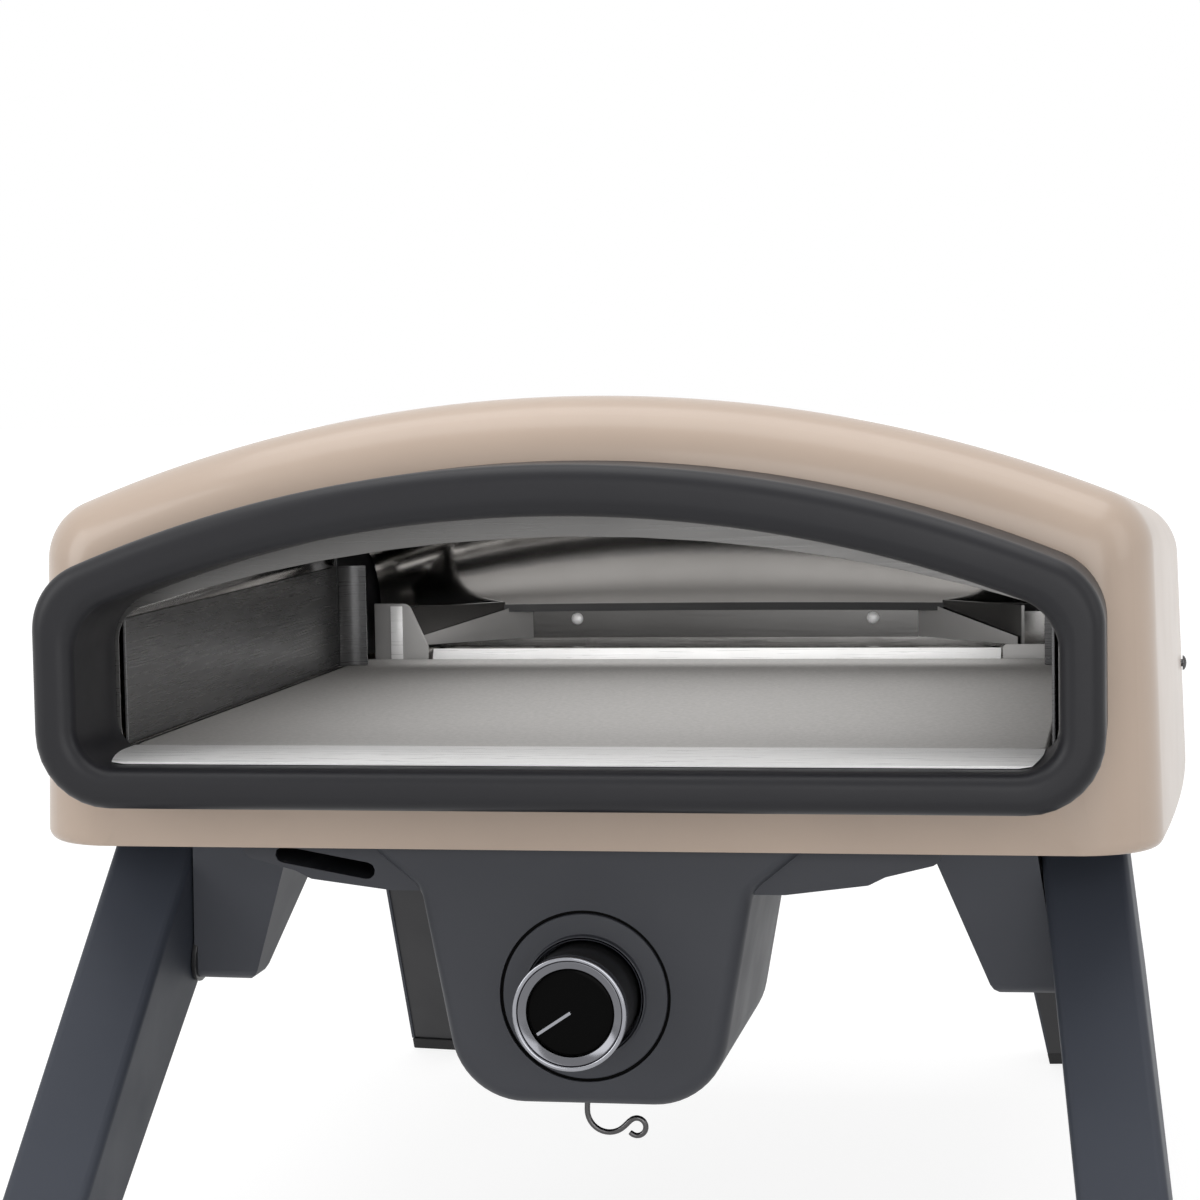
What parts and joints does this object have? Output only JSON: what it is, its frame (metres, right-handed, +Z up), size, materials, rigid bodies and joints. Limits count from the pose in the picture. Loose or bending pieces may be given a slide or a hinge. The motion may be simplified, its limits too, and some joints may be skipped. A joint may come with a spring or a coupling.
{
  "type": "portable pizza oven",
  "caption": "Portable gas pizza oven with a beige arched shell, charcoal mouth frame, front gas knob and folding legs.",
  "frame": {"origin": "on the ground under the middle of the footprint", "axes": "+X to the right seen from the mouth, +Y from the mouth to the back, +Z up"},
  "size_m": [0.5662, 0.787, 0.452],
  "materials": {
    "enamel": "gloss beige coat",
    "charcoal": "satin powder coat",
    "leg_paint": "satin powder coat",
    "stainless": "bright",
    "dark_steel": "darkened",
    "stone": "matt cordierite",
    "ceramic": "glazed",
    "chrome": "polished",
    "black_gloss": "gloss",
    "black_plastic": "satin",
    "brass": "machined",
    "rubber": "matt",
    "wool": "fibrous"
  },
  "bodies": {
    "oven_body": {"outer_shell": "enamel", "mouth_frame": "charcoal", "bottom_tray": "charcoal", "control_box": "charcoal", "dial_plate": "charcoal", "rear_panel": "charcoal", "bracket_front_left": "charcoal", "bracket_front_right": "charcoal", "bracket_rear_left": "charcoal", "bracket_rear_right": "charcoal", "front_baffle": "stainless", "mouth_sill": "stainless", "stone_tray": "stainless", "inner_dome": "stainless", "rear_liner": "stainless", "burner_tube": "stainless", "burner_shroud": "stainless", "burner_tray": "stainless", "burner_bracket_left": "stainless", "burner_bracket_right": "stainless", "flame_sensor": "stainless", "side_screw_left": "stainless", "side_screw_right": "stainless", "rear_screw_lower_left": "stainless", "rear_screw_lower_right": "stainless", "rear_screw_upper_left": "stainless", "rear_screw_upper_right": "stainless", "washer_front_left": "stainless", "washer_front_right": "stainless", "washer_rear_left": "stainless", "washer_rear_right": "stainless", "pivot_bolt_front_left": "stainless", "pivot_bolt_front_right": "stainless", "pivot_bolt_rear_left": "stainless", "pivot_bolt_rear_right": "stainless", "left_side_liner": "dark_steel", "right_side_liner": "dark_steel", "base_plate": "dark_steel", "wire_hook": "dark_steel", "pizza_stone": "stone", "igniter_electrode": "ceramic", "mixing_tube": "brass", "valve_body": "brass", "gas_pipe": "brass", "inlet_pipe": "brass", "gas_inlet": "brass", "insulation_blanket": "wool"},
    "front_left_leg": {"leg_front_left": "leg_paint", "foot_front_left": "rubber"},
    "front_right_leg": {"leg_front_right": "leg_paint", "foot_front_right": "rubber"},
    "rear_left_leg": {"leg_rear_left": "leg_paint", "foot_rear_left": "rubber"},
    "rear_right_leg": {"leg_rear_right": "leg_paint", "foot_rear_right": "rubber"},
    "stem": {"valve_stem": "brass"},
    "knob": {"knob_body": "black_plastic", "knob_ring": "chrome", "knob_cap": "black_gloss", "knob_pointer": "chrome"}
  },
  "joints": [
    {"name": "front_left_leg_fold", "type": "hinge", "parent": "oven_body", "child": "front_left_leg", "pos_m": [-0.219, -0.1835, 0.17], "axis": [0.9914, 0, -0.1305], "range_deg": [0, 127]},
    {"name": "front_right_leg_fold", "type": "hinge", "parent": "oven_body", "child": "front_right_leg", "pos_m": [0.219, -0.1835, 0.17], "axis": [0.9914, 0, 0.1305], "range_deg": [0, 127]},
    {"name": "rear_left_leg_fold", "type": "hinge", "parent": "oven_body", "child": "rear_left_leg", "pos_m": [-0.175, 0.1835, 0.17], "axis": [-0.9914, 0, 0.1305], "range_deg": [0, 127]},
    {"name": "rear_right_leg_fold", "type": "hinge", "parent": "oven_body", "child": "rear_right_leg", "pos_m": [0.175, 0.1835, 0.17], "axis": [-0.9914, 0, -0.1305], "range_deg": [0, 127]},
    {"name": "knob_turn", "type": "hinge", "parent": "oven_body", "child": "stem", "pos_m": [0, -0.2765, 0.169], "axis": [0, -1, 0], "range_deg": [-123, 90]},
    {"name": "knob_push", "type": "slide", "parent": "stem", "child": "knob", "axis": [0, 1, 0], "range_m": [0, 0.004], "stiffness_N_per_m": 600}
  ]
}
